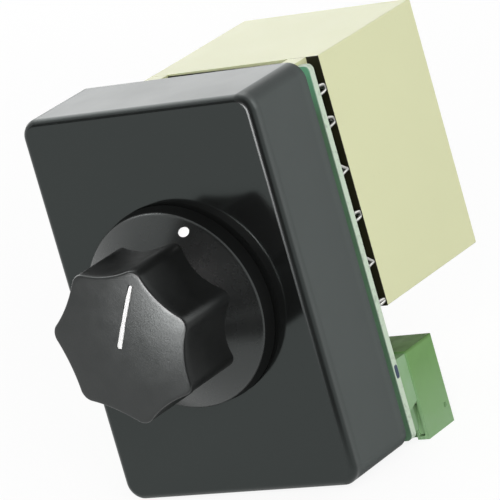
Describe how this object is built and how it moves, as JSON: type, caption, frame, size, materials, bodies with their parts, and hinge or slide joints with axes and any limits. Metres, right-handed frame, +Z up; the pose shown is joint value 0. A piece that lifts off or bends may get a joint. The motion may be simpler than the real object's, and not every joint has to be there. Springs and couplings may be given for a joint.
{
  "type": "panel attenuator",
  "caption": "Panel attenuator: a lobed, skirted knob on a black moulded housing turns a stepped switch; a circuit board behind it carries a potted transformer and screw terminals.",
  "frame": {"origin": "middle of the housing's front face, on the knob's axis, where the panel's back face sits", "axes": "+X right as seen from the front, +Y back from the panel, +Z up"},
  "size_m": [0.0497, 0.0724, 0.07],
  "materials": {
    "housing_black": "glossy moulded black",
    "knob_black": "fine-grained black",
    "mark_white": "filled white mark",
    "brass": "turned",
    "steel": "plain",
    "plated_steel": "bright plating",
    "moulding_brown": "moulded switch parts",
    "moulding_white": "natural nylon",
    "contact_silver": "silver plated",
    "board_green": "solder mask over pale laminate",
    "case_cream": "smooth cream moulding",
    "potting_black": "cast resin",
    "core_steel": "varnished laminations",
    "copper": "enamelled wire",
    "tinned": "bright tin",
    "terminal_green": "satin green moulding"
  },
  "bodies": {
    "frame": {"front_housing": "housing_black", "circuit_board": "board_green", "board_screws": "plated_steel", "switch_bushing": "brass", "switch_plate": "plated_steel", "panel_nut": "plated_steel", "lock_washer": "plated_steel", "switch_body": "moulding_brown", "detent_balls": "steel", "detent_springs": "steel", "stop_pin": "steel", "switch_base": "moulding_brown", "fixed_contacts": "contact_silver", "common_contact": "contact_silver", "transformer_case": "case_cream", "potting": "potting_black", "core_e_stack": "core_steel", "core_i_stack": "core_steel", "bobbin": "moulding_white", "winding": "copper", "tap_leads": "tinned", "terminal_housing": "terminal_green", "terminal_pins": "tinned"},
    "control": {"knob": "knob_black", "knob_bush": "brass", "knob_set_screw": "steel", "pointer_line": "mark_white", "skirt_dot": "mark_white", "switch_shaft": "brass", "shaft_clip": "steel", "detent_wheel": "moulding_white", "switch_rotor": "moulding_white", "wiper_contact": "contact_silver"},
    "clamp_screw_1": {"terminal_screw_1": "plated_steel"},
    "cage_1": {"clamp_cage_1": "plated_steel"},
    "clamp_screw_2": {"terminal_screw_2": "plated_steel"},
    "cage_2": {"clamp_cage_2": "plated_steel"},
    "clamp_screw_3": {"terminal_screw_3": "plated_steel"},
    "cage_3": {"clamp_cage_3": "plated_steel"},
    "clamp_screw_4": {"terminal_screw_4": "plated_steel"},
    "cage_4": {"clamp_cage_4": "plated_steel"}
  },
  "joints": [
    {"name": "control_turn", "type": "hinge", "parent": "frame", "child": "control", "pos_m": [0, 0, 0], "axis": [0, 1, 0], "range_deg": [-180, 120]},
    {"name": "clamp_screw_1_turn", "type": "hinge", "parent": "frame", "child": "clamp_screw_1", "pos_m": [0.02116, 0.025, -0.027], "axis": [0, -1, 0], "range_deg": [0, 1440]},
    {"name": "cage_1_rise", "type": "slide", "parent": "frame", "child": "cage_1", "axis": [0, 1, 0], "range_m": [0, 0.002]},
    {"name": "clamp_screw_2_turn", "type": "hinge", "parent": "frame", "child": "clamp_screw_2", "pos_m": [0.01608, 0.025, -0.027], "axis": [0, -1, 0], "range_deg": [0, 1440]},
    {"name": "cage_2_rise", "type": "slide", "parent": "frame", "child": "cage_2", "axis": [0, 1, 0], "range_m": [0, 0.002]},
    {"name": "clamp_screw_3_turn", "type": "hinge", "parent": "frame", "child": "clamp_screw_3", "pos_m": [0.011, 0.025, -0.027], "axis": [0, -1, 0], "range_deg": [0, 1440]},
    {"name": "cage_3_rise", "type": "slide", "parent": "frame", "child": "cage_3", "axis": [0, 1, 0], "range_m": [0, 0.002]},
    {"name": "clamp_screw_4_turn", "type": "hinge", "parent": "frame", "child": "clamp_screw_4", "pos_m": [0.00592, 0.025, -0.027], "axis": [0, -1, 0], "range_deg": [0, 1440]},
    {"name": "cage_4_rise", "type": "slide", "parent": "frame", "child": "cage_4", "axis": [0, 1, 0], "range_m": [0, 0.002]}
  ],
  "couplings": [
    {"joint": "clamp_screw_1_turn", "follows": "cage_1_rise", "rad_per_m": 12566},
    {"joint": "clamp_screw_2_turn", "follows": "cage_2_rise", "rad_per_m": 12566},
    {"joint": "clamp_screw_3_turn", "follows": "cage_3_rise", "rad_per_m": 12566},
    {"joint": "clamp_screw_4_turn", "follows": "cage_4_rise", "rad_per_m": 12566}
  ]
}
